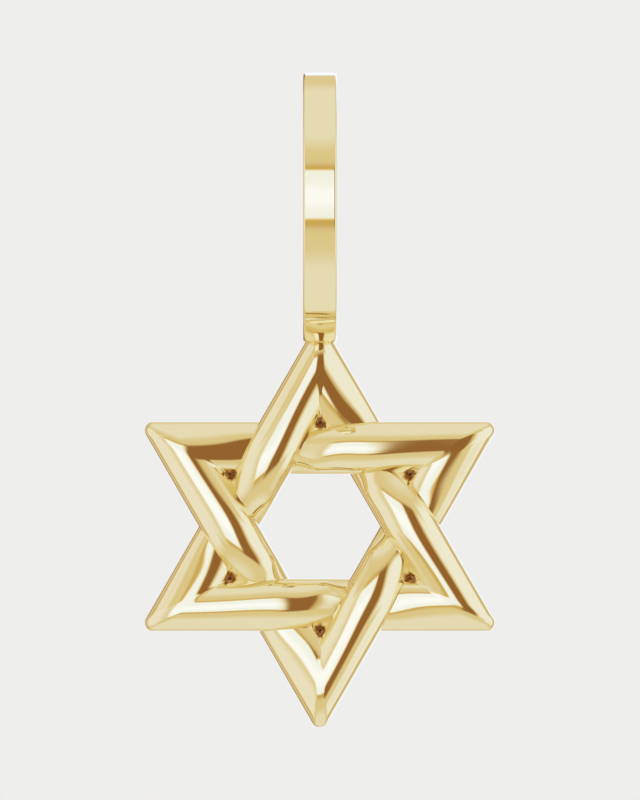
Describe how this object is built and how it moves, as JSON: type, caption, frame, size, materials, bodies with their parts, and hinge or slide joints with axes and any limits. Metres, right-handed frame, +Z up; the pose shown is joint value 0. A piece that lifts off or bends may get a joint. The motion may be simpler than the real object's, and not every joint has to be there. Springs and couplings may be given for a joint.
{
  "type": "star of david pendant",
  "caption": "Hexagram pendant: interwoven triangles of domed gold bar, cast as one star, under a flat band bent to a round bail that slides on a chain.",
  "frame": {"origin": "inside top of the bail, in the middle of the band, where the pendant hangs on its chain", "axes": "+Z up towards the chain, -Y towards the viewer of the front, +X to the right as seen from the front"},
  "size_m": [0.016, 0.0122, 0.03],
  "materials": {
    "polished_gold": "high-polished 14 karat yellow gold, mirror bright, with fine handling scratches"
  },
  "bodies": {
    "root": {"woven_star": "polished_gold", "bail": "polished_gold"}
  },
  "joints": []
}
